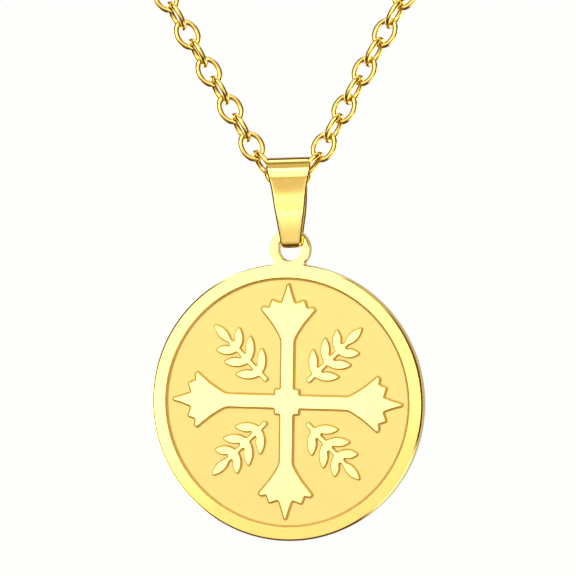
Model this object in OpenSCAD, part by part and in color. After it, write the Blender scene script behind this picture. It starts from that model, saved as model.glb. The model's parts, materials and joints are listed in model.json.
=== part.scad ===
// Round medal with a raised cross, hanging from a bail on a fine cable chain.
// The necklace has the form that it has when it is worn. The wearer looks towards -Y and +Z is up.
// The origin is the point on the nape that the clasp rests on.

/* [Medal] */
// Diameter of the round medal
medal_d = 30; // [29:0.5:32]
// Thickness of the medal and its lug
medal_t = 1.7; // [1.4:0.1:1.9]
// Width of the flat raised rim
rim_w = 1.5; // [1:0.1:1.8]
// Height of the rim, the cross and the ornament above the field
relief = 0.4; // [0.2:0.05:0.6]
// How far the medal has swivelled on the bail, in degrees
medal_turn = 8; // [0:1:9]
// How far the medal leans clockwise, in degrees
medal_lean = 0.9; // [0:0.1:2]

/* [Lug] */
// Outer diameter of the lug
lug_d = 4.4; // [4:0.1:5]
// Diameter of the hole in the lug
lug_hole_d = 2.54; // [2.5:0.02:2.8]
// Height of the hole's centre above the centre of the medal
lug_rise = 16.6; // [16.4:0.1:17]

/* [Cross] */
// Width of the arms
arm_w = 1.4; // [1:0.1:1.8]
// Length of each arm from the centre of the cross
arm_len = 12.7; // [11.5:0.1:13]
// Side of the square block at the crossing
block_w = 2.75; // [2:0.05:3.5]
// Height of the crossing above the centre of the medal
cross_rise = 0.15; // [0:0.05:0.3]

/* [Ornament] */
// Width of the stem of each sprig
stem_w = 0.5; // [0.3:0.05:0.8]
// Width of the leaves
leaf_w = 1; // [0.8:0.05:1.2]
// Angle between a leaf and the stem
leaf_angle = 46; // [40:1:50]

/* [Bail] */
// Thickness of the strip
strip_t = 0.4; // [0.3:0.05:0.5]
// Outer radius of the loop that goes round the chain
loop_r = 2.2; // [2.1:0.05:2.4]
// Depth of the foot from front to back, outside
foot_depth = 3.6; // [3.4:0.1:4]
// Height of the loop's centre above the underside of the foot
foot_drop = 7.65; // [7.6:0.05:7.8]
// Radius of the two bends at the foot
foot_bend = 0.5; // [0.45:0.05:0.6]
// How far the bail leans anticlockwise, in degrees
bail_lean = 1.8; // [0:0.1:2]

/* [Chain] */
// Outer width of the chain's links
chain_d = 2.4; // [2:0.1:2.4]
// Distance between two rings of the tube that stands for the chain
ring_step = 7.6; // [7:0.1:9]

/* [Clasp] */
// Thickness of the clasp
clasp_t = 2.4; // [2:0.1:3]
// Distance from the clasp's centre to the hole in each eye
eye_reach = 7.3; // [7.3:0.1:7.5]
// Outer diameter of each eye
eye_d = 3.2; // [3:0.1:3.4]
// Diameter of the hole in each eye
eye_hole_d = 1.8; // [1.6:0.1:1.9]

/* [Hidden] */
$fn = 96;
over = 0.2;
fuse = 0.05;

// Centre of the bail's loop, which is the line that the bail swings about
loop_y = -90;
loop_z = -200;

// Top of the foot's strip, and the centre of the hole that hangs on it
foot_top_z = loop_z - foot_drop + strip_t;
hole_below_foot = 0.45;
foot_x = foot_drop * sin(bail_lean);
plate_slope = asin((loop_r - foot_depth / 2) / (foot_drop - foot_bend));
lug_z = foot_top_z - hole_below_foot;

// Width and depth of the blank that the bail's front outline is cut from, and the flats of its bends
blank_w = 8;
loop_steps = 40;
bend_steps = 6;

// Half widths of the bail, seen from the front, at heights from the loop's centre
// [height, half width]
bail_outline = [
    [2.3, 2.43], [1.1, 2.38], [0.2, 2.2], [-0.6, 2.02],
    [-3.4, 1.63], [-6.0, 1.2], [-7.15, 1.0], [-7.65, 0.8]
];

// One arm's end, from where its sides begin to flare to its tip
// [half width, distance back from the tip]
arm_end = [
    [1.09, 5.3], [1.74, 4.25], [2.26, 3.6], [3.03, 2.65], [2.75, 2.4],
    [2.15, 2.5], [1.8, 1.65], [0.78, 1.95]
];

// How far back from the tip an arm's straight sides end
arm_straight = 5.95;

// One sprig's pairs of leaves, on a stem that points away from the crossing
// [distance from the crossing, length of the leaves]
leaf_pairs = [[4.1, 2.9], [5.95, 2.9], [7.75, 2.5]];
stem_start = 3.2;
stem_end = 9.55;
tip_leaf = 2.75;

// The chain's route from one side of the clasp to the other, once round the loop
// [x, y, z, radius of the tube]: the tube is narrow where the chain goes through the bail
wide = chain_d / 2;
narrow = 0.35;
route = [
    [-9.4, 1.2, 0, wide], [-26, -3, -4, wide], [-41, -13, -13, wide], [-53, -27, -27, wide],
    [-60, -43, -45, wide], [-61, -59, -66, wide], [-57, -73, -90, wide], [-49, -83, -114, wide],
    [-39, -88.5, -136.5, wide], [-28, -90, -155.3, wide], [-16, -90, -176, wide],
    [-6.4, -90, -192.5, wide], [-4.5, -90, -195.8, wide], [-3.5, -90, -197.6, 0.7],
    [-2.8, -90, -198.5, narrow], [-2, -90, -199.5, narrow], [0, -90, -200.8, narrow],
    [1.95, -90, -199.65, narrow], [2.7, -90, -198.6, narrow], [3.2, -90, -197.7, 0.7],
    [4.2, -90, -195.9, wide], [6, -90, -192.5, wide], [15, -90, -175.8, wide],
    [26, -90, -155.3, wide], [36, -88.5, -136.5, wide], [47, -83, -114, wide],
    [56, -73, -90, wide], [61, -59, -66, wide], [60, -43, -45, wide], [53, -27, -27, wide],
    [41, -13, -13, wide], [26, -3, -4, wide], [9.4, 1.2, 0, wide]
];
tube_sides = 8;

// A point of the route without its radius, and the way from one row to the next
function place(i) = [route[i][0], route[i][1], route[i][2]];
function gap(i) = norm(place(i + 1) - place(i));
function step_dir(i) = (place(i + 1) - place(i)) / gap(i);
function unit(v) = v / norm(v);

// Direction of the curve at a row, which leans towards the shorter of its two neighbours
function heading(i) =
    i == 0 ? step_dir(0) :
    i == len(route) - 1 ? step_dir(i - 1) :
    unit(step_dir(i - 1) * gap(i) + step_dir(i) * gap(i - 1));

// A smooth curve through the rows: s goes from 0 at row i to 1 at the next row
function curve(i, s) =
    place(i) * (1 + 2 * s) * pow(1 - s, 2)
    + heading(i) * gap(i) * s * pow(1 - s, 2)
    + place(i + 1) * s * s * (3 - 2 * s)
    + heading(i + 1) * gap(i) * s * s * (s - 1);
function curve_dir(i, s) = unit(curve(i, min(1, s + 0.01)) - curve(i, max(0, s - 0.01)));
function tube_r(i, s) = route[i][3] * (1 - s) + route[i + 1][3] * s;

// Rings of the tube: [row, way to the next row]
function steps(i) = max(1, round(gap(i) / ring_step));
ring_places = concat(
    [for (i = [0 : len(route) - 2]) for (k = [0 : steps(i) - 1]) [i, k / steps(i)]],
    [[len(route) - 2, 1]]
);

// The corners of one ring, square to the curve
function ring(i, s) =
    let (side = unit(cross(curve_dir(i, s), [0, 1, 0])), up = cross(side, curve_dir(i, s)))
    [for (k = [0 : tube_sides - 1])
        curve(i, s) + tube_r(i, s) * (side * cos(360 * k / tube_sides) + up * sin(360 * k / tube_sides))];

// Stands a flat outline up, so that its second axis is +Z and its thickness is centred on y = 0
module stand_up(thickness) {
    rotate([90, 0, 0])
        translate([0, 0, -thickness / 2])
            linear_extrude(thickness)
                children();
}

// Lays raised work on the field of the medal, up to the level of the rim
module raise_from_field() {
    rotate([90, 0, 0])
        translate([0, 0, medal_t / 2 - relief - fuse])
            linear_extrude(relief + fuse)
                children();
}

module cross_arm() {
    right = [for (p = arm_end) [p[0], arm_len - p[1]]];
    left = [for (k = [len(arm_end) - 1 : -1 : 0]) [-arm_end[k][0], arm_len - arm_end[k][1]]];
    polygon(concat(
        [[arm_w / 2, 0], [arm_w / 2, arm_len - arm_straight]],
        right,
        [[0, arm_len]],
        left,
        [[-arm_w / 2, arm_len - arm_straight], [-arm_w / 2, 0]]
    ));
}

module cross_outline() {
    translate([0, cross_rise]) {
        square(block_w, center = true);
        for (turn = [0 : 90 : 270])
            rotate(turn)
                cross_arm();
    }
}

// A pointed leaf that starts at the origin and grows along +Y
module leaf(length) {
    edge_r = (length * length + leaf_w * leaf_w) / (4 * leaf_w);
    translate([0, length / 2])
        intersection() {
            translate([edge_r - leaf_w / 2, 0])
                circle(edge_r);
            translate([leaf_w / 2 - edge_r, 0])
                circle(edge_r);
        }
}

module sprig() {
    translate([-stem_w / 2, stem_start])
        square([stem_w, stem_end - stem_start]);
    translate([0, stem_end - tip_leaf / 4])
        leaf(tip_leaf);
    for (pair = leaf_pairs)
        for (side = [-1, 1])
            translate([0, pair[0]])
                rotate(side * leaf_angle)
                    leaf(pair[1]);
}

module ornament_outline() {
    translate([0, cross_rise])
        for (turn = [45 : 90 : 315])
            rotate(turn)
                sprig();
}

module medal_plate() {
    difference() {
        union() {
            stand_up(medal_t)
                circle(d = medal_d);
            translate([0, 0, lug_rise])
                stand_up(medal_t)
                    circle(d = lug_d);
        }
        translate([0, 0, lug_rise])
            stand_up(medal_t + 2 * over)
                circle(d = lug_hole_d);
        translate([0, -medal_t / 2 - over / 2 + relief / 2, 0])
            stand_up(relief + over)
                circle(d = medal_d - 2 * rim_w);
    }
}

module medal() {
    color("gold")
        translate([foot_x, loop_y, lug_z])
            rotate([0, medal_lean, -medal_turn])
                translate([0, 0, -lug_rise]) {
                    medal_plate();
                    raise_from_field()
                        cross_outline();
                    raise_from_field()
                        ornament_outline();
                }
}

// Points along an arc, from one angle to another
function arc(centre, r, from, to, count) =
    [for (k = [0 : count]) let (a = from + (to - from) * k / count) centre + r * [cos(a), sin(a)]];

// Side view of the bail with the given thickness taken off all round
// [depth, height from the loop's centre]
// The plates leave the loop as tangents and draw in by plate_slope towards the foot
function bail_side(inset) =
    let (
        r = loop_r - inset,
        bend = max(foot_bend - inset, strip_t / 4),
        x = foot_depth / 2 - inset - bend,
        z = inset + bend - foot_drop
    )
    concat(
        arc([0, 0], r, -plate_slope, 180 + plate_slope, loop_steps),
        arc([-x, z], bend, 180 + plate_slope, 270, bend_steps),
        arc([x, z], bend, 270, 360 - plate_slope, bend_steps)
    );

module bail_front() {
    right = [for (p = bail_outline) [p[1], p[0]]];
    left = [for (k = [len(bail_outline) - 1 : -1 : 0]) [-bail_outline[k][1], bail_outline[k][0]]];
    polygon(concat(right, left));
}

module bail() {
    color("goldenrod")
        translate([0, loop_y, loop_z])
            rotate([0, -bail_lean, 0])
                intersection() {
                    rotate([90, 0, 90])
                        translate([0, 0, -blank_w / 2])
                            linear_extrude(blank_w)
                                difference() {
                                    polygon(bail_side(0));
                                    polygon(bail_side(strip_t));
                                }
                    stand_up(blank_w)
                        bail_front();
                }
}

module chain() {
    last = len(ring_places) - 1;
    corners = [for (p = ring_places) each ring(p[0], p[1])];
    walls = [
        for (j = [0 : last - 1]) for (k = [0 : tube_sides - 1])
            let (next = (k + 1) % tube_sides)
            [j * tube_sides + k, j * tube_sides + next, (j + 1) * tube_sides + next, (j + 1) * tube_sides + k]
    ];
    start_cap = [[for (k = [tube_sides - 1 : -1 : 0]) k]];
    end_cap = [[for (k = [0 : tube_sides - 1]) last * tube_sides + k]];
    color("khaki")
        polyhedron(corners, concat(walls, start_cap, end_cap));
}

// A plain closed clasp: a body between two eyes, flat on the side that rests on the nape
module clasp() {
    body_r = 2.4;
    tail_r = 1.5;
    body_x = -1.6;
    tail_x = 4;
    neck = 3;
    color("gold")
        translate([0, clasp_t / 2, 0])
            difference() {
                union() {
                    stand_up(clasp_t) {
                        translate([body_x, 0])
                            circle(body_r);
                        translate([tail_x, 0])
                            circle(tail_r);
                        polygon([[body_x, -body_r], [tail_x, -tail_r], [tail_x, tail_r], [body_x, body_r]]);
                    }
                    for (side = [-1, 1])
                        stand_up(clasp_t / 2) {
                            translate([side * eye_reach, 0])
                                circle(d = eye_d);
                            translate([side * (eye_reach - eye_hole_d / 2 - neck / 2), 0])
                                square([neck, eye_d / 2], center = true);
                        }
                }
                for (side = [-1, 1])
                    translate([side * eye_reach, 0, 0])
                        stand_up(clasp_t)
                            circle(d = eye_hole_d);
            }
}

medal();
bail();
chain();
clasp();
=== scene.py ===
import json
import math
import random

import bmesh
import bpy
import numpy as np
from mathutils import Matrix, Vector
from mathutils.geometry import delaunay_2d_cdt


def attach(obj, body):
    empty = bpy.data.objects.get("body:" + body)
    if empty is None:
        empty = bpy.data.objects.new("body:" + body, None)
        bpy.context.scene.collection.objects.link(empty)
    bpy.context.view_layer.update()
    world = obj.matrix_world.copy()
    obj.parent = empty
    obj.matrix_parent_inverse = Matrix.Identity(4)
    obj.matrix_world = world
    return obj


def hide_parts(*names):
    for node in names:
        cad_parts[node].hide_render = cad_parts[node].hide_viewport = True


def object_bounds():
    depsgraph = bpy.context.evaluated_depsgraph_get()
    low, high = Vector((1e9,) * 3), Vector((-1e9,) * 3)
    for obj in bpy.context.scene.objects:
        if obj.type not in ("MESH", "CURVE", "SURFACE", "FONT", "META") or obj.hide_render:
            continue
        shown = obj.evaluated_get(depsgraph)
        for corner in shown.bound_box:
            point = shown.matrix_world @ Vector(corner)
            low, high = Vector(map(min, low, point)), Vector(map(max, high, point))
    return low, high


MM = 0.001

# Places and angles that the frame gives
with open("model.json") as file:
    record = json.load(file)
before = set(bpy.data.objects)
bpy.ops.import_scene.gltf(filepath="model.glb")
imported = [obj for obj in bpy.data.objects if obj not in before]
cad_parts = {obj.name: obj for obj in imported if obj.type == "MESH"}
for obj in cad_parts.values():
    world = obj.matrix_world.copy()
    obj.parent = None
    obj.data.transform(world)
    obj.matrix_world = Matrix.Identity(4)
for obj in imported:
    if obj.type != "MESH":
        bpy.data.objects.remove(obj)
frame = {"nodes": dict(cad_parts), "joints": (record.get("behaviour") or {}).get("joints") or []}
cad_low, cad_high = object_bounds()
joints = {joint["name"]: joint for joint in frame["joints"]}
LOOP = Vector(joints["bail_swing"]["pos_m"]) / MM
FOOT = Vector(joints["medal_swing"]["pos_m"]) / MM
MEDAL_AXIS = Vector(joints["medal_swing"]["axis"])
MEDAL_TURN = math.atan2(MEDAL_AXIS.y, MEDAL_AXIS.x)

# Medal
MEDAL_R = 15
MEDAL_T = 1.7
RIM_W = 1.57
RELIEF = 0.4
EDGE_BEVEL = 0.19
RIM_SLOPE = math.radians(1.2)
# Half the run of the walls round the leaves, round the cross and inside the rim
LEAF_WALL = 0.1
CROSS_WALL = 0.14
RIM_WALL = 0.16
# Steps down a wall, and how many of them, from the top, are as bright as the field; the steps below them
# carry painted shade
WALL_STEPS = 8
BRIGHT_STEPS = 3
MEDAL_LEAN = math.radians(0.9)
MEDAL_SHIFT = -0.07
LUG_R = 2.2
LUG_HOLE_R = 1.27
LUG_BEVEL = 0.07
LUG_RISE = 16.6
LUG_FILLET = 0.2
HOLE_BELOW_FOOT = 0.45

# The medal's finishes and its painted shade, as numbers in its list of materials: polished, matte, and darker
# gold that paints the shade along the feet of the walls. Each other piece has one material, the first.
POLISHED, MATTE, PAINTED_SHADE = 0, 1, 2

# Raised work of the medal. The crossing lies a little above the middle.
CROSS_RISE = 0.08
CORNER_R = 0.17
BLOCK_HALF = 1.375
# One half of a cross arm, from the crossing to the tip: [half width, way from the crossing, corner radius]
ARM = [
    [0.75, BLOCK_HALF, CORNER_R], [0.75, 6.75, 1.6], [1.09, 7.4, 1.6], [1.74, 8.42, 2], [2.26, 9.06, 2],
    [3.06, 10.02, CORNER_R], [2.72, 10.3, CORNER_R], [2.14, 10.16, CORNER_R], [1.82, 11.05, CORNER_R],
    [0.78, 10.7, CORNER_R], [0.42, 11.7, 1.5], [0, 13.2, CORNER_R],
]
# One sprig of leaves, on a stem that points away from the crossing, and where each sprig points, in degrees
SPRIG_TURNS = (45, 135, 225, 315)
STEM_HALF = 0.25
STEM_START = 3.2
# The leaves: [distance from the crossing, length]
LEAF_PAIRS = [[4.1, 2.9], [5.95, 2.9], [7.75, 2.5]]
TIP_LEAF = [8.86, 2.75]
LEAF_W = 1
LEAF_ANGLE = math.radians(46)
# How far a leaf's outer and inner edge stay clear of the corner that they make with the stem
NOTCH_WIDE = 0.3
NOTCH_TIGHT = 0.7

# How finely the medal's curves are cut
DISC_STEPS = 220
RIM_STEPS = 200
LUG_STEPS = 48
FILLET_STEPS = 6
LEAF_STEPS = 10
CORNER_STEP = math.radians(20)
# The largest part of a side that a round corner may take up
CORNER_SHARE = 0.49
# Radius of the two soft edges of a bevel, as a part of its leg
BEVEL_SOFTNESS = 0.25
# Points of an outline that are closer than this are one point
MERGE = 1e-6

# Bail, measured from the centre of its loop. It hangs a little askew and off the middle.
BAIL_LEAN = math.radians(1.8)
BAIL_TURN = math.radians(2)
BAIL_SHIFT = 0.05
STRIP_T = 0.4
STRIP_BEVEL = 0.16
# Width of the border along which the strip is a little crowned
STRIP_CROWN = 0.45
BAIL_LOOP_R = 2.03
# Middle of the strip down the front, from the side of the loop to the foot: [depth, height]
BAIL_PLATE = [[2.03, 0], [2.03, -1.6], [2.013, -2.6], [1.988, -3.9], [1.93, -5], [1.79, -6.95]]
FOOT_BEND_R = 0.4
FOOT_HALF = 1
# Half widths of the front and of the back, and the height
BAIL_OUTLINE = [
    [2.43, 2.43, 2.3], [2.38, 2.2, 1.1], [2.2, 1.98, 0.2], [2.02, 1.87, -0.6], [1.63, 1.66, -3.4],
    [1.24, 1.26, -6], [1.11, 1.11, -7], [1.07, 1.07, -7.25], [0.98, 0.98, -7.45], [0.82, 0.82, -7.65],
]
# Steps round the loop, from one row of the plate to the next, round a foot bend and across the foot, and from
# one row of the outline to the next
LOOP_STEPS = 60
PLATE_STEPS = 8
BEND_STEPS = 8
FOOT_STEPS = 4
OUTLINE_STEPS = 12

# Chain. The length and the width of a link are over its wire.
LINK_L = 3.56
LINK_W = 2.82
LINK_PITCH = 2.34
LINK_STEPS = 36
WIRE_R = 0.295
WIRE_SIDES = 16
# How far the links are turned about the chain, and how far each link strays from that, in degrees
LINK_TURN = -21
LINK_STRAY = 3
STRAY_SEED = 4
# Steps along a strand from one row of its route to the next
ROUTE_STEPS = 40
# Where neighbouring links meet in the bail, from the left strand to the right one
BAIL_JOINTS = [
    [-3.46, -90, -197.57], [-2.05, -90, -199.4], [-0.2, -90, -200.75], [1.65, -90, -199.55],
    [3.2, -90, -197.67],
]
# How far each link in the bail is turned about the chain, in degrees: 0 stands edge-on to the front
BAIL_TURNS = [-24, 39, 102, 165]
# The strands as the tube in the frame runs: down the chest on the left, up the chest on the right, and round
# the neck to the clasp, alike on both sides
LEFT_ROUTE = [
    [-57, -73, -90], [-49, -83, -114], [-39, -88.5, -136.5], [-28, -90, -155.3], [-16, -90, -176],
    [-6.4, -90, -192.5], [-4.5, -90, -195.8],
]
RIGHT_ROUTE = [
    [4.2, -90, -195.9], [6, -90, -192.5], [15, -90, -175.8], [26, -90, -155.3], [36, -88.5, -136.5],
    [47, -83, -114], [56, -73, -90],
]
NECK_ROUTE = [[61, -59, -66], [60, -43, -45], [53, -27, -27], [41, -13, -13], [26, -3, -4], [9.4, 1.2, 0]]

# Clasp, whose eyes take the last links
CLASP_T = 2.4
EYE_REACH = 7.3
EYE_HOLE_R = 0.9

# The photograph: its side, the rows of the bail's loop and of the medal's middle, the column of both, all in
# pixels, and where it was taken from
PHOTO_SIZE = 576
LOOP_ROW = 178
MEDAL_ROW = 402.5
MIDLINE_COLUMN = 289
PHOTO_AZIMUTH = math.radians(5)
PHOTO_ELEVATION = math.radians(1.6)
CAMERA_AWAY = 450
CAMERA_NEAR = 10
CAMERA_FAR = 20000
SENSOR_W = 36

# Metals: linear colour, least and greatest roughness, size and depth of the grain, how metallic it is
METALS = {
    "polished_gold": ((1.0, 0.763, 0.224), (0.06, 0.09), 0.3, 0.0002, 1),
    "matte_gold": ((0.885, 0.685, 0.252), (0.42, 0.46), 0.08, 0.006, 1),
    # painted_shade_gold is gold darkened to paint the shade at the feet of the medal's raised walls, and
    # little metallic so that walls facing any side look alike
    "painted_shade_gold": ((0.58, 0.4, 0.115), (0.55, 0.6), 0.1, 0.004, 0.15),
    "bail_gold": ((0.9, 0.685, 0.205), (0.12, 0.14), 0.4, 0.0003, 1),
    "wire_gold": ((0.88, 0.67, 0.2), (0.1, 0.13), 0.25, 0.0003, 1),
}
GRAIN_DETAIL = 3
# Size of the patches in which the roughness changes, and the values of their noise at its two ends
BLOTCH = 1.6
BLOTCH_DETAIL = 2
BLOTCH_LOW = 0.3
BLOTCH_HIGH = 0.7

# Floor, and how far it lies below the medal
FLOOR_DROP = 150
FLOOR_R = 900
FLOOR_SIDES = 96
FLOOR_COLOUR = (0.93, 0.93, 0.92)
FLOOR_ROUGHNESS = 0.8

# Light, as linear colours
BACKDROP = (0.991, 0.991, 0.974)
DARK_SIDE = (0.12, 0.065, 0.03)
PALE_BACK = (0.57, 0.52, 0.44)
# How far to the back a direction points, as its Y, where the pale light begins and where it is full
PALE_START = 0.75
PALE_FULL = 0.92
WHITE = (1, 1, 1)
WARM = (1, 0.93, 0.72)
COOL = (0.7, 0.85, 1)
AMBER = (1, 0.86, 0.66)
# Soft boxes: azimuth, height, half width, half height, softness across and up, all in degrees; colour and
# strength. The white ones in front leave a gap where the camera stands.
PANELS = [
    (-24.3, 20.7, 8, 24.3, 3, 1, WHITE, 1.75),
    (-25.9, -4.52, 6.4, 0.92, 3, 1, WHITE, 1.5),
    (0, 26.5, 14, 18.5, 3, 1.5, WHITE, 1.75),
    (0, -4.3, 12, 1.7, 3, 0.8, WHITE, 2.3),
    (34, 8, 5, 30, 3, 6, WHITE, 1.8),
    (-47, 8, 5, 30, 3, 6, WHITE, 1.8),
    (-5, 12, 50, 43, 6, 4, AMBER, 0.6),
    (-6, -6.5, 34, 4, 8, 1.5, COOL, 0.55),
    (-5, 49, 32, 6, 6, 2, WHITE, 3.5),
    (-5, 69, 40, 13, 6, 3, WARM, 0.6),
    (-5, 88, 60, 10, 20, 6, WARM, 0.3),
    (175, 67, 40, 9, 6, 4, WHITE, 2.4),
    (80, -45, 28, 18, 8, 8, WHITE, 1.6),
    (-135, -17, 17, 24, 5, 6, WHITE, 2.6),
    (130, -17, 17, 24, 5, 6, WHITE, 2.6),
]


def unit(rows):
    """Each row of an array, or one vector, made one long."""
    return rows / np.linalg.norm(rows, axis=-1, keepdims=True)


def arc(centre, radius, start, end, steps):
    """Points along an arc, its last point included. Angles are in radians."""
    turns = np.linspace(start, end, steps + 1)
    return np.array(centre) + radius * np.stack([np.cos(turns), np.sin(turns)], axis=1)


def bevel(leg):
    """A bevelled corner with soft edges, from its side to its face: rows of [off the side, off the face]."""
    soft = BEVEL_SOFTNESS * leg
    cut = leg + soft * math.tan(math.pi / 8)
    side = arc((-soft, -cut), soft, 0, math.pi / 4, 2)
    return np.vstack([side, side[::-1, ::-1]])


def angle_of(point, centre):
    """Direction from a centre to a point, in radians."""
    return math.atan2(point[1] - centre[1], point[0] - centre[0])


def smooth_path(rows, steps):
    """A smooth curve through rows of coordinates, with this many steps from one row to the next."""
    rows = np.array(rows, float)
    gaps = np.linalg.norm(np.diff(rows, axis=0), axis=1)
    ways = np.diff(rows, axis=0) / gaps[:, None]
    turns = unit(ways[:-1] * gaps[1:, None] + ways[1:] * gaps[:-1, None])
    headings = np.vstack([ways[:1], turns, ways[-1:]])
    s = np.linspace(0, 1, steps, endpoint=False)[:, None]
    points = [
        rows[i] * (1 + 2 * s) * (1 - s) ** 2
        + headings[i] * gaps[i] * s * (1 - s) ** 2
        + rows[i + 1] * s * s * (3 - 2 * s)
        + headings[i + 1] * gaps[i] * s * s * (s - 1)
        for i in range(len(gaps))
    ]
    return np.vstack(points + [rows[-1:]])


def round_corners(corners):
    """A closed loop through corners of [x, z, radius], each with a radius rounded off to an arc."""
    points = []
    for k, (x, z, radius) in enumerate(corners):
        corner = np.array([x, z])
        if radius == 0:
            points.append(corner[None])
            continue
        back = np.array(corners[k - 1][:2]) - corner
        ahead = np.array(corners[(k + 1) % len(corners)][:2]) - corner
        shortest = min(np.linalg.norm(back), np.linalg.norm(ahead))
        back, ahead = unit(back), unit(ahead)
        half = math.acos(np.clip(back @ ahead, -1, 1)) / 2
        cut = min(radius / math.tan(half), CORNER_SHARE * shortest)
        radius = cut * math.tan(half)
        centre = corner + unit(back + ahead) * radius / math.sin(half)
        start = angle_of(corner + back * cut, centre)
        swing = (angle_of(corner + ahead * cut, centre) - start + math.pi) % (2 * math.pi) - math.pi
        points.append(arc(centre, radius, start, start + swing, 1 + math.ceil(abs(swing) / CORNER_STEP)))
    return np.vstack(points)


def offset(loop, distance):
    """A counter-clockwise loop moved outwards, with mitred corners."""
    ahead = unit(np.roll(loop, -1, axis=0) - loop)
    right = np.stack([ahead[:, 1], -ahead[:, 0]], axis=1)
    before = np.roll(right, 1, axis=0)
    mitre = (before + right) / (1 + np.sum(before * right, axis=1, keepdims=True))
    return loop + distance * mitre


def turned(rows, angle):
    """Rows of [x, z, ...] turned counter-clockwise about the origin."""
    made = np.array(rows, float)
    x, z = made[:, 0].copy(), made[:, 1].copy()
    made[:, 0] = x * math.cos(angle) - z * math.sin(angle)
    made[:, 1] = x * math.sin(angle) + z * math.cos(angle)
    return made


def mirrored(rows):
    """Rows of [x, z, ...] mirrored left to right and put in the opposite order."""
    return [[-row[0], *row[1:]] for row in reversed(list(rows))]


def inside(loops, points):
    """Whether each point lies inside an odd number of the loops."""
    odd = np.zeros(len(points), bool)
    x, z = points[:, 0], points[:, 1]
    for loop in loops:
        for (x0, z0), (x1, z1) in zip(loop, np.roll(loop, -1, axis=0)):
            if z0 != z1:
                crosses = (z0 > z) != (z1 > z)
                odd ^= crosses & (x < x0 + (z - z0) * (x1 - x0) / (z1 - z0))
    return odd


class Skin:
    """The points and faces of one mesh while it is made. Each face has the number of its material, which is a
    finish of the metal or painted shade.
    """

    def __init__(self):
        self.points = []
        self.faces = []
        self.finishes_and_shade = []
        self.flats = {}

    def add_points(self, rows):
        start = len(self.points)
        self.points += [tuple(row) for row in rows]
        return list(range(start, len(self.points)))

    def ring(self, loop, depth):
        """A loop of [x, z] at one depth."""
        return self.add_points((x, depth, z) for x, z in loop)

    def bridge(self, a, b, finish_and_shade=POLISHED):
        """Quads between two closed rings of the same length."""
        for k in range(len(a)):
            n = (k + 1) % len(a)
            self.faces.append((a[k], a[n], b[n], b[k]))
            self.finishes_and_shade.append(finish_and_shade)

    def fill(self, rings, facing, finish_and_shade=POLISHED, slope=0):
        """Triangles on what lies inside an odd number of rings. It faces -Y or +Y, and may slope outwards."""
        numbers = [n for ring in rings for n in ring]
        for n in numbers:
            x, _, z = self.points[n]
            away = math.tan(slope) / math.hypot(x, z)
            self.flats[n] = Vector((x * away, facing, z * away)).normalized()
        loops = [np.array([self.points[n] for n in ring])[:, [0, 2]] for ring in rings]
        edges = []
        for ring in rings:
            start = len(edges)
            edges += [(start + k, start + (k + 1) % len(ring)) for k in range(len(ring))]
        flat = [Vector(point) for loop in loops for point in loop]
        places, _, triangles, originals, _, _ = delaunay_2d_cdt(flat, edges, [], 0, MERGE)
        middles = np.array([sum((places[v] for v in t), Vector((0, 0))) / 3 for t in triangles])
        for triangle, kept in zip(triangles, inside(loops, middles)):
            if kept:
                self.faces.append(tuple(numbers[originals[v][0]] for v in triangle))
                self.finishes_and_shade.append(finish_and_shade)


def add_piece(name, skin, materials, matrix, body, node):
    """Makes the object of a closed skin, in metres, and hands it to the frame."""
    mesh = bpy.data.meshes.new(name)
    mesh.from_pydata(skin.points, [], skin.faces)
    mesh.polygons.foreach_set("material_index", skin.finishes_and_shade)
    edit = bmesh.new()
    edit.from_mesh(mesh)
    bmesh.ops.recalc_face_normals(edit, faces=edit.faces)
    edit.to_mesh(mesh)
    edit.free()
    mesh.transform(Matrix.Scale(MM, 4) @ matrix)
    mesh.polygons.foreach_set("use_smooth", [True] * len(mesh.polygons))
    turn = matrix.to_3x3()
    unset = Vector((0, 0, 0))
    normals = [turn @ skin.flats.get(n, unset) for n in range(len(skin.points))]
    mesh.normals_split_custom_set_from_vertices(normals)
    for material in materials:
        mesh.materials.append(material)
    piece = bpy.data.objects.new(name, mesh)
    bpy.context.scene.collection.objects.link(piece)
    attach(piece, body)
    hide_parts(node)


def silhouette():
    """The disc and the lug as one outline, with a small fillet where they meet."""
    lug = np.array([0, LUG_RISE])
    to_disc, to_lug = MEDAL_R + LUG_FILLET, LUG_R + LUG_FILLET
    z = (to_disc ** 2 - to_lug ** 2 + LUG_RISE ** 2) / (2 * LUG_RISE)
    fillet = np.array([math.sqrt(to_disc ** 2 - z ** 2), z])
    on_disc = angle_of(fillet, (0, 0))
    on_lug = angle_of(fillet, lug)
    from_disc = angle_of((0, 0), fillet)
    from_lug = angle_of(lug, fillet) % (2 * math.pi)
    disc = arc((0, 0), MEDAL_R, math.pi - on_disc, 2 * math.pi + on_disc, DISC_STEPS)
    right = arc(fillet, LUG_FILLET, from_disc % (2 * math.pi), from_lug, FILLET_STEPS)
    over = arc(lug, LUG_R, on_lug, math.pi - on_lug, LUG_STEPS)
    left = np.array(mirrored(right))
    return np.vstack([disc[:-1], right[:-1], over[:-1], left[:-1]])


def cross_loop():
    """The outline of the cross."""
    corners = []
    for turn in range(4):
        half = [[w, d, r] for w, d, r in ARM]
        arm = half + mirrored(half[:-1]) + [[-BLOCK_HALF, BLOCK_HALF, CORNER_R]]
        corners += list(turned(arm, turn * math.pi / 2))
    return round_corners(corners) + [0, CROSS_RISE]


def leaf_edges(base, length, angle):
    """The outer and the inner edge of a leaf that leans to the right by angle, each from base to tip."""
    radius = (length ** 2 + LEAF_W ** 2) / (4 * LEAF_W)
    swing = math.asin(length / 2 / radius)
    away = radius - LEAF_W / 2
    outer = arc((-away, length / 2), radius, -swing, swing, LEAF_STEPS)
    inner = outer * [-1, 1]
    return [turned(edge, -angle) + [0, base] for edge in (outer, inner)]


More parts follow.
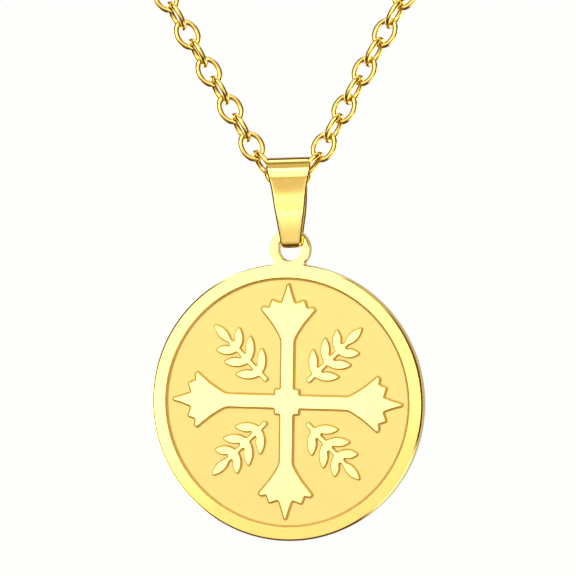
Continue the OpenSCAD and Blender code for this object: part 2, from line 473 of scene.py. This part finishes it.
def off_the_stem(edge, clearance):
    """The part of a leaf's edge outside the stem, with room for a round corner: rows of [x, z, radius]."""
    k = int(np.argmax(edge[:, 0] > STEM_HALF))
    a, b = edge[k - 1], edge[k]
    start = a + (b - a) * (STEM_HALF - a[0]) / (b[0] - a[0])
    clear = [point for point in edge[k:-1] if np.linalg.norm(point - start) > clearance]
    return [[*start, CORNER_R]] + [[*point, 0] for point in clear]


def sprig_loop(turn):
    """The outline of one sprig, turned about the crossing."""
    half = [[STEM_HALF, STEM_START, CORNER_R]]
    for base, length in LEAF_PAIRS:
        outer, inner = leaf_edges(base, length, LEAF_ANGLE)
        half += off_the_stem(outer, NOTCH_WIDE)
        half.append([*outer[-1], CORNER_R])
        half += reversed(off_the_stem(inner, NOTCH_TIGHT))
    outer, _ = leaf_edges(*TIP_LEAF, 0)
    half += off_the_stem(outer, NOTCH_WIDE)
    tip = [[0, sum(TIP_LEAF), CORNER_R]]
    return round_corners(turned(half + tip + mirrored(half), turn)) + [0, CROSS_RISE]


def add_edge(skin, loop, legs):
    """The medal's side along a loop, bevelled at both ends. Gives its rings at the front and at the back."""
    front = -MEDAL_T / 2 + RIM_W * math.tan(RIM_SLOPE)
    corner = bevel(1)
    steps = [(out, front - deep * EDGE_BEVEL) for out, deep in corner[::-1]]
    steps += [(out, MEDAL_T / 2 + deep * EDGE_BEVEL) for out, deep in corner]
    rings = [skin.ring(offset(loop, out * legs), depth) for out, depth in steps]
    for a, b in zip(rings, rings[1:]):
        skin.bridge(a, b)
    return rings[0], rings[-1]


def add_wall(skin, loop, run):
    """A wall with soft edges down to the field, its lower steps darker gold that paints the shade along its
    foot. Its top lies inside the loop by run, its foot outside by as much, or the other way round where run
    is negative. Gives the rings of both."""
    field = -MEDAL_T / 2 + RELIEF
    rings = []
    for s in np.linspace(0, 1, WALL_STEPS + 1):
        height = RELIEF * (1 - s * s * (3 - 2 * s))
        rings.append(skin.ring(offset(loop, run * (2 * s - 1)), field - height))
    for k, (a, b) in enumerate(zip(rings, rings[1:])):
        # The top steps are matte like the field; the lower steps are darker gold, painted shade along the
        # wall's foot
        skin.bridge(a, b, finish_and_shade=MATTE if k < BRIGHT_STEPS else PAINTED_SHADE)
    return rings[0], rings[-1]


def medal_skin():
    """The medal: its outline with the lug's hole, the rim round the field, and the raised work."""
    skin = Skin()
    outer = silhouette()
    outer_legs = np.interp(outer[:, 1:], [MEDAL_R - LUG_R, MEDAL_R], [EDGE_BEVEL, LUG_BEVEL])
    hole = arc((0, LUG_RISE), LUG_HOLE_R, 0, 2 * math.pi, LUG_STEPS)[:-1]
    outer_front, outer_back = add_edge(skin, outer, outer_legs)
    hole_front, hole_back = add_edge(skin, hole, -LUG_BEVEL)
    skin.fill([outer_back, hole_back], 1)

    rim = arc((0, 0), MEDAL_R - RIM_W, 0, 2 * math.pi, RIM_STEPS)[:-1]
    rim_top, rim_foot = add_wall(skin, rim, -RIM_WALL)
    feet = [rim_foot]
    raised = [(cross_loop(), CROSS_WALL)]
    raised += [(sprig_loop(math.radians(turn)), LEAF_WALL) for turn in SPRIG_TURNS]
    for loop, run in raised:
        top, foot = add_wall(skin, loop, run)
        skin.fill([top], -1)
        feet.append(foot)
    skin.fill([outer_front, hole_front, rim_top], -1, slope=RIM_SLOPE)
    skin.fill(feet, -1, finish_and_shade=MATTE)
    return skin


def bail_skin():
    """The folded strip, a rounded oblong section carried once round the loop, the plates and the foot."""
    skin = Skin()
    outline = smooth_path(BAIL_OUTLINE, OUTLINE_STEPS)
    plate = smooth_path(BAIL_PLATE, PLATE_STEPS)
    bend = arc(plate[-1] - [FOOT_BEND_R, 0], FOOT_BEND_R, 0, -math.pi / 2, BEND_STEPS)
    foot = [[x, bend[-1][1]] for x in np.linspace(FOOT_HALF, -FOOT_HALF, FOOT_STEPS + 1)]
    loop = arc((0, 0), BAIL_LOOP_R, math.pi, 0, LOOP_STEPS)
    path = np.vstack([loop, plate[1:], bend[1:], foot, mirrored(bend[1:]), mirrored(plate[1:])])
    ways = unit(np.roll(path, -1, axis=0) - np.roll(path, 1, axis=0))
    outwards = np.stack([-ways[:, 1], ways[:, 0]], axis=1)
    corner = np.vstack([bevel(STRIP_BEVEL), [-STRIP_CROWN, 0]])
    rings = []
    for (depth, height), out in zip(path, outwards):
        outer_height = height + out[1] * STRIP_T / 2
        half_w = np.interp(-outer_height, -outline[:, 2], outline[:, 0 if depth < 0 else 1])
        quarter = corner + [half_w, STRIP_T / 2]
        half_section = np.vstack([quarter, quarter[::-1] * [-1, 1]])
        section = np.vstack([half_section, half_section * -1])
        rings.append(skin.add_points(
            (across, depth + out[0] * thick, height + out[1] * thick) for across, thick in section
        ))
    for a, b in zip(rings, rings[1:] + rings[:1]):
        skin.bridge(a, b)
    return skin


def strand_joints(route):
    """Joints between the links of one strand, an even number of links from end to end."""
    curve = smooth_path(route, ROUTE_STEPS)
    lengths = np.concatenate([[0], np.cumsum(np.linalg.norm(np.diff(curve, axis=0), axis=1))])
    links = 2 * round(lengths[-1] / LINK_PITCH / 2)
    marks = np.linspace(0, lengths[-1], links + 1)
    return np.stack([np.interp(marks, lengths, curve[:, axis]) for axis in range(3)], axis=1)


def link_rings():
    """One link that lies along X in the XY plane: points in the order [along the link, round the wire]."""
    section = arc((0, 0), WIRE_R, 0, 2 * math.pi, WIRE_SIDES)[:-1]
    turns = np.linspace(0, 2 * math.pi, LINK_STEPS, endpoint=False)
    half_l, half_w = LINK_L / 2 - WIRE_R, LINK_W / 2 - WIRE_R
    middle = np.stack([half_l * np.cos(turns), half_w * np.sin(turns), 0 * turns], axis=1)
    out = unit(np.stack([half_w * np.cos(turns), half_l * np.sin(turns), 0 * turns], axis=1))
    up = np.array([0, 0, 1])
    return middle[:, None] + out[:, None] * section[:, :1] + up * section[:, 1:]


def chain_skins():
    """The links of the left strand with the bail's, and those of the right strand. Each link lies between two
    joints, and every other one is turned a quarter."""
    draw = random.Random(STRAY_SEED)
    hook = EYE_REACH + EYE_HOLE_R
    neck = [*NECK_ROUTE, [hook, CLASP_T / 2, 0]]
    left = strand_joints([*mirrored(neck), *LEFT_ROUTE, BAIL_JOINTS[0]])
    right = strand_joints([BAIL_JOINTS[-1], *RIGHT_ROUTE, *neck])
    joints_passed = np.vstack([left[:-1], BAIL_JOINTS, right[1:]])
    turns = [LINK_TURN + 90 * (k % 2) for k in range(len(left) - 1)]
    turns += BAIL_TURNS
    turns += [LINK_TURN + 90 * ((k + 1) % 2) for k in range(len(right) - 1)]
    rings = link_rings()
    skins = [Skin(), Skin()]
    for k, (start, end, turn) in enumerate(zip(joints_passed, joints_passed[1:], turns)):
        skin = skins[0] if k < len(left) + 1 else skins[1]
        along = unit(end - start)
        across = unit(np.cross(along, [0, 1, 0]))
        depth = np.cross(across, along)
        angle = math.radians(turn + draw.uniform(-LINK_STRAY, LINK_STRAY))
        wide = depth * math.cos(angle) + across * math.sin(angle)
        axes = np.array([along, wide, np.cross(along, wide)])
        numbers = [skin.add_points(row) for row in rings @ axes + (start + end) / 2]
        for a, b in zip(numbers, numbers[1:] + numbers[:1]):
            skin.bridge(a, b)
    return skins


def node(tree, kind, inputs, **settings):
    """Adds a shader node. Each input is a value or the output that feeds it."""
    made = tree.nodes.new(kind)
    for name, value in settings.items():
        setattr(made, name, value)
    for name, value in inputs.items():
        if isinstance(value, bpy.types.NodeSocket):
            tree.links.new(value, made.inputs[name])
        else:
            made.inputs[name].default_value = value
    return made


def gold(name, colour, roughness, grain, grain_depth, metallic):
    """Gold-coloured metal: a fine grain in its surface and a slow change of its roughness."""
    material = bpy.data.materials.new(name)
    material.use_nodes = True
    tree = material.node_tree
    shader = tree.nodes["Principled BSDF"]
    shader.inputs["Base Color"].default_value = (*colour, 1)
    shader.inputs["Metallic"].default_value = metallic
    place = node(tree, "ShaderNodeTexCoord", {}).outputs["Object"]
    blotch = node(tree, "ShaderNodeTexNoise", {
        "Vector": place, "Scale": 1 / (BLOTCH * MM), "Detail": BLOTCH_DETAIL,
    })
    spread = node(tree, "ShaderNodeMapRange", {
        "Value": blotch.outputs["Fac"], "From Min": BLOTCH_LOW, "From Max": BLOTCH_HIGH,
        "To Min": roughness[0], "To Max": roughness[1],
    })
    pores = node(tree, "ShaderNodeTexNoise", {
        "Vector": place, "Scale": 1 / (grain * MM), "Detail": GRAIN_DETAIL,
    })
    bump = node(tree, "ShaderNodeBump", {
        "Height": pores.outputs["Fac"], "Strength": 1, "Distance": grain_depth * MM,
    })
    tree.links.new(spread.outputs["Result"], shader.inputs["Roughness"])
    tree.links.new(bump.outputs["Normal"], shader.inputs["Normal"])
    return material


def direction(azimuth, height):
    """A direction, from degrees of azimuth (0 in front, positive to the viewer's right) and of height."""
    a, h = math.radians(azimuth), math.radians(height)
    return Vector((math.sin(a) * math.cos(h), -math.cos(a) * math.cos(h), math.sin(h)))


def softbox(tree, way, azimuth, height, half_w, half_h, soft_w, soft_h, colour, strength):
    """Light from a far rectangular panel with soft edges. Its sizes are in degrees."""
    facing = direction(azimuth, height)
    across = direction(azimuth + 90, 0)
    upwards = direction(azimuth, height + 90)
    parts = []
    for axis in (facing, across, upwards):
        part = node(tree, "ShaderNodeVectorMath", {0: way, 1: axis}, operation="DOT_PRODUCT")
        parts.append(part.outputs["Value"])
    light = node(tree, "ShaderNodeMath", {0: parts[0], 1: 0}, operation="GREATER_THAN").outputs[0]
    for part, half, soft in ((parts[1], half_w, soft_w), (parts[2], half_h, soft_h)):
        slope = node(tree, "ShaderNodeMath", {0: part, 1: parts[0]}, operation="DIVIDE").outputs[0]
        away = node(tree, "ShaderNodeMath", {0: slope}, operation="ABSOLUTE").outputs[0]
        edge = node(tree, "ShaderNodeMapRange", {
            "Value": away, "From Min": math.tan(math.radians(half + soft)),
            "From Max": math.tan(math.radians(half - soft)), "To Min": 0, "To Max": 1,
        }, interpolation_type="SMOOTHSTEP").outputs["Result"]
        light = node(tree, "ShaderNodeMath", {0: light, 1: edge}, operation="MULTIPLY").outputs[0]
    tint = node(tree, "ShaderNodeVectorMath", {0: tuple(strength * c for c in colour), "Scale": light},
                operation="SCALE")
    return tint.outputs["Vector"]


def studio():
    """The light round the object: soft boxes, with a brown dark between them that is paler behind."""
    world = bpy.data.worlds.new("studio")
    bpy.context.scene.world = world
    world.use_nodes = True
    tree = world.node_tree
    tree.nodes.clear()
    way = node(tree, "ShaderNodeTexCoord", {}).outputs["Generated"]
    split = node(tree, "ShaderNodeSeparateXYZ", {"Vector": way})
    behind = node(tree, "ShaderNodeMapRange", {
        "Value": split.outputs["Y"], "From Min": PALE_START, "From Max": PALE_FULL, "To Min": 0, "To Max": 1,
    }, interpolation_type="SMOOTHSTEP").outputs["Result"]
    base = node(tree, "ShaderNodeMix", {0: behind, 6: (*DARK_SIDE, 1), 7: (*PALE_BACK, 1)}, data_type="RGBA")
    light = base.outputs[2]
    for panel in PANELS:
        box = softbox(tree, way, *panel)
        light = node(tree, "ShaderNodeVectorMath", {0: light, 1: box}, operation="ADD").outputs["Vector"]
    lit = node(tree, "ShaderNodeBackground", {"Color": light, "Strength": 1})
    plain = node(tree, "ShaderNodeBackground", {"Color": (*BACKDROP, 1), "Strength": 1})
    seen = node(tree, "ShaderNodeLightPath", {}).outputs["Is Camera Ray"]
    mix = node(tree, "ShaderNodeMixShader", {0: seen, 1: lit.outputs[0], 2: plain.outputs[0]})
    node(tree, "ShaderNodeOutputWorld", {"Surface": mix.outputs[0]})


def floor():
    """A pale round floor well below the medal."""
    bpy.ops.mesh.primitive_circle_add(
        vertices=FLOOR_SIDES, radius=FLOOR_R * MM, fill_type="NGON",
        location=(0, LOOP.y * MM / 2, cad_low.z - FLOOR_DROP * MM),
    )
    made = bpy.context.object
    made.name = "floor"
    material = bpy.data.materials.new("floor_paint")
    material.use_nodes = True
    shader = material.node_tree.nodes["Principled BSDF"]
    shader.inputs["Base Color"].default_value = (*FLOOR_COLOUR, 1)
    shader.inputs["Roughness"].default_value = FLOOR_ROUGHNESS
    made.data.materials.append(material)
    made.visible_glossy = False


def camera():
    """A long lens at the photograph's angle, aimed at what the photograph has in its middle."""
    per_mm = (MEDAL_ROW - LOOP_ROW) / (LOOP.z - FOOT.z + HOLE_BELOW_FOOT + LUG_RISE)
    middle = PHOTO_SIZE / 2
    target = Vector((-(MIDLINE_COLUMN - middle) / per_mm, LOOP.y, LOOP.z - (middle - LOOP_ROW) / per_mm))
    out = math.cos(PHOTO_ELEVATION)
    back = Vector((math.sin(PHOTO_AZIMUTH) * out, -math.cos(PHOTO_AZIMUTH) * out, math.sin(PHOTO_ELEVATION)))
    data = bpy.data.cameras.new("camera")
    data.sensor_width = SENSOR_W
    data.lens = SENSOR_W * CAMERA_AWAY / (PHOTO_SIZE / per_mm)
    data.clip_start = CAMERA_NEAR * MM
    data.clip_end = CAMERA_FAR * MM
    made = bpy.data.objects.new("camera", data)
    bpy.context.scene.collection.objects.link(made)
    made.location = (target + back * CAMERA_AWAY) * MM
    made.rotation_mode = "QUATERNION"
    made.rotation_quaternion = (-back).to_track_quat("-Z", "Y")
    bpy.context.scene.camera = made


camera()
studio()
floor()
bpy.context.scene.view_settings.view_transform = "Standard"

# The third metal is darker gold that paints the shade at the feet of the medal's walls
polished, matte, painted_shade, strip, wire = [gold(name, *look) for name, look in METALS.items()]

medal_place = (
    Matrix.Translation((FOOT.x + MEDAL_SHIFT, LOOP.y, FOOT.z - HOLE_BELOW_FOOT))
    @ Matrix.Rotation(MEDAL_TURN, 4, "Z")
    @ Matrix.Rotation(MEDAL_LEAN, 4, "Y")
    @ Matrix.Translation((0, 0, -LUG_RISE))
)
bail_place = (
    Matrix.Translation((LOOP.x + BAIL_SHIFT, LOOP.y, LOOP.z))
    @ Matrix.Rotation(BAIL_TURN, 4, "Z")
    @ Matrix.Rotation(-BAIL_LEAN, 4, "Y")
)
add_piece("medal_disc", medal_skin(), [polished, matte, painted_shade], medal_place, "medal", "medal")
add_piece("bail_strip", bail_skin(), [strip], bail_place, "bail", "bail")
for name, skin in zip(("chain_links_left", "chain_links_right"), chain_skins()):
    add_piece(name, skin, [wire], Matrix.Identity(4), "necklace", "chain")
frame["nodes"]["clasp"].data.materials.clear()
frame["nodes"]["clasp"].data.materials.append(polished)
